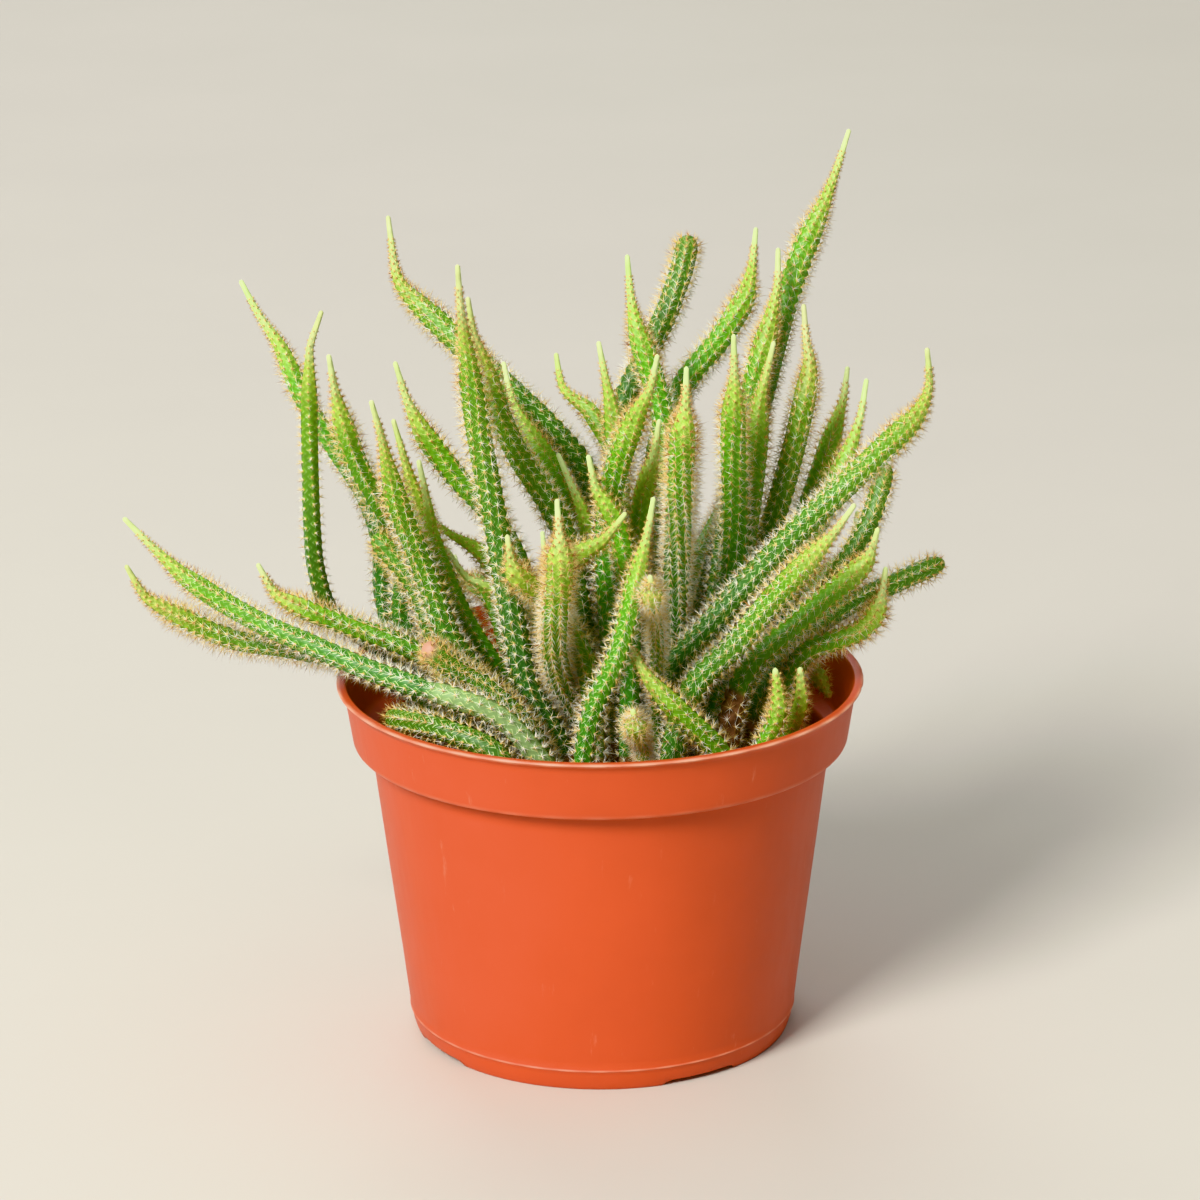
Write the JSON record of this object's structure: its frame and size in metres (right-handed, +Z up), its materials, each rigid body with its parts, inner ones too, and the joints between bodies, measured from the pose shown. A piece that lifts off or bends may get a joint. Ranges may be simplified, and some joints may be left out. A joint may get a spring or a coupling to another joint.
{
  "type": "rat tail cactus",
  "caption": "Rat tail cactus: a clump of slender ribbed spiny stems, upright and trailing, planted in a round plastic nursery pot.",
  "frame": {"origin": "on the pot's axis, on the surface its foot ring stands on, 1.8 mm below the middle of the pot's underside", "axes": "+Z up along the pot's axis, -Y towards the front of the plant, +X to its right"},
  "size_m": [0.2428, 0.1826, 0.2604],
  "materials": {
    "terracotta_plastic": "satin terracotta-orange moulded plastic",
    "potting_mix": "dark loose peat, bark and grit",
    "stem_01_skin": "waxy ribbed green cactus skin with rows of woolly areoles and short spines",
    "stem_02_skin": "waxy ribbed green cactus skin with rows of woolly areoles and short spines",
    "stem_03_skin": "waxy ribbed green cactus skin with rows of woolly areoles and short spines",
    "stem_04_skin": "waxy ribbed green cactus skin with rows of woolly areoles and short spines",
    "stem_05_skin": "waxy ribbed green cactus skin with rows of woolly areoles and short spines",
    "stem_06_skin": "waxy ribbed green cactus skin with rows of woolly areoles and short spines",
    "stem_07_skin": "waxy ribbed green cactus skin with rows of woolly areoles and short spines",
    "stem_08_skin": "waxy ribbed green cactus skin with rows of woolly areoles and short spines",
    "stem_10_skin": "waxy ribbed green cactus skin with rows of woolly areoles and short spines",
    "stem_11_skin": "waxy ribbed green cactus skin with rows of woolly areoles and short spines",
    "stem_12_skin": "waxy ribbed green cactus skin with rows of woolly areoles and short spines",
    "stem_13_skin": "waxy ribbed green cactus skin with rows of woolly areoles and short spines",
    "stem_14_skin": "waxy ribbed green cactus skin with rows of woolly areoles and short spines",
    "stem_15_skin": "waxy ribbed green cactus skin with rows of woolly areoles and short spines",
    "stem_16_skin": "waxy ribbed green cactus skin with rows of woolly areoles and short spines",
    "stem_17_skin": "waxy ribbed green cactus skin with rows of woolly areoles and short spines",
    "stem_18_skin": "waxy ribbed green cactus skin with rows of woolly areoles and short spines",
    "stem_19_skin": "waxy ribbed green cactus skin with rows of woolly areoles and short spines",
    "stem_20_skin": "waxy ribbed green cactus skin with rows of woolly areoles and short spines",
    "stem_21_skin": "waxy ribbed green cactus skin with rows of woolly areoles and short spines",
    "stem_22_skin": "waxy ribbed green cactus skin with rows of woolly areoles and short spines",
    "stem_23_skin": "waxy ribbed green cactus skin with rows of woolly areoles and short spines",
    "stem_24_skin": "waxy ribbed green cactus skin with rows of woolly areoles and short spines",
    "stem_25_skin": "waxy ribbed green cactus skin with rows of woolly areoles and short spines",
    "stem_26_skin": "waxy ribbed green cactus skin with rows of woolly areoles and short spines",
    "stem_27_skin": "waxy ribbed green cactus skin with rows of woolly areoles and short spines",
    "stem_28_skin": "waxy ribbed green cactus skin with rows of woolly areoles and short spines",
    "stem_29_skin": "waxy ribbed green cactus skin with rows of woolly areoles and short spines",
    "stem_30_skin": "waxy ribbed green cactus skin with rows of woolly areoles and short spines",
    "stem_31_skin": "waxy ribbed green cactus skin with rows of woolly areoles and short spines",
    "stem_32_skin": "waxy ribbed green cactus skin with rows of woolly areoles and short spines",
    "stem_33_skin": "waxy ribbed green cactus skin with rows of woolly areoles and short spines",
    "stem_34_skin": "waxy ribbed green cactus skin with rows of woolly areoles and short spines",
    "stem_35_skin": "waxy ribbed green cactus skin with rows of woolly areoles and short spines",
    "stem_36_skin": "waxy ribbed green cactus skin with rows of woolly areoles and short spines",
    "stem_37_skin": "waxy ribbed green cactus skin with rows of woolly areoles and short spines",
    "stem_38_skin": "waxy ribbed green cactus skin with rows of woolly areoles and short spines",
    "stem_39_skin": "waxy ribbed green cactus skin with rows of woolly areoles and short spines",
    "stem_40_skin": "waxy ribbed green cactus skin with rows of woolly areoles and short spines",
    "stem_41_skin": "waxy ribbed green cactus skin with rows of woolly areoles and short spines",
    "stem_42_skin": "waxy ribbed green cactus skin with rows of woolly areoles and short spines",
    "stem_43_skin": "waxy ribbed green cactus skin with rows of woolly areoles and short spines",
    "stem_44_skin": "waxy ribbed green cactus skin with rows of woolly areoles and short spines",
    "stem_45_skin": "waxy ribbed green cactus skin with rows of woolly areoles and short spines",
    "stem_46_skin": "waxy ribbed green cactus skin with rows of woolly areoles and short spines",
    "stem_47_skin": "waxy ribbed green cactus skin with rows of woolly areoles and short spines",
    "stem_48_skin": "waxy ribbed green cactus skin with rows of woolly areoles and short spines",
    "stem_49_skin": "waxy ribbed green cactus skin with rows of woolly areoles and short spines",
    "stem_50_skin": "waxy ribbed green cactus skin with rows of woolly areoles and short spines",
    "stem_51_skin": "waxy ribbed green cactus skin with rows of woolly areoles and short spines",
    "stem_52_skin": "waxy ribbed green cactus skin with rows of woolly areoles and short spines",
    "stem_53_skin": "waxy ribbed green cactus skin with rows of woolly areoles and short spines",
    "stem_54_skin": "waxy ribbed green cactus skin with rows of woolly areoles and short spines",
    "stem_55_skin": "waxy ribbed green cactus skin with rows of woolly areoles and short spines",
    "stem_56_skin": "waxy ribbed green cactus skin with rows of woolly areoles and short spines",
    "stem_57_skin": "waxy ribbed green cactus skin with rows of woolly areoles and short spines"
  },
  "bodies": {
    "root": {"pot": "terracotta_plastic", "potting_mix": "potting_mix", "stem_01": "stem_01_skin", "stem_02": "stem_02_skin", "stem_03": "stem_03_skin", "stem_04": "stem_04_skin", "stem_05": "stem_05_skin", "stem_06": "stem_06_skin", "stem_07": "stem_07_skin", "stem_08": "stem_08_skin", "stem_10": "stem_10_skin", "stem_11": "stem_11_skin", "stem_12": "stem_12_skin", "stem_13": "stem_13_skin", "stem_14": "stem_14_skin", "stem_15": "stem_15_skin", "stem_16": "stem_16_skin", "stem_17": "stem_17_skin", "stem_18": "stem_18_skin", "stem_19": "stem_19_skin", "stem_20": "stem_20_skin", "stem_21": "stem_21_skin", "stem_22": "stem_22_skin", "stem_23": "stem_23_skin", "stem_24": "stem_24_skin", "stem_25": "stem_25_skin", "stem_26": "stem_26_skin", "stem_27": "stem_27_skin", "stem_28": "stem_28_skin", "stem_29": "stem_29_skin", "stem_30": "stem_30_skin", "stem_31": "stem_31_skin", "stem_32": "stem_32_skin", "stem_33": "stem_33_skin", "stem_34": "stem_34_skin", "stem_35": "stem_35_skin", "stem_36": "stem_36_skin", "stem_37": "stem_37_skin", "stem_38": "stem_38_skin", "stem_39": "stem_39_skin", "stem_40": "stem_40_skin", "stem_41": "stem_41_skin", "stem_42": "stem_42_skin", "stem_43": "stem_43_skin", "stem_44": "stem_44_skin", "stem_45": "stem_45_skin", "stem_46": "stem_46_skin", "stem_47": "stem_47_skin", "stem_48": "stem_48_skin", "stem_49": "stem_49_skin", "stem_50": "stem_50_skin", "stem_51": "stem_51_skin", "stem_52": "stem_52_skin", "stem_53": "stem_53_skin", "stem_54": "stem_54_skin", "stem_55": "stem_55_skin", "stem_56": "stem_56_skin", "stem_57": "stem_57_skin"}
  },
  "joints": []
}
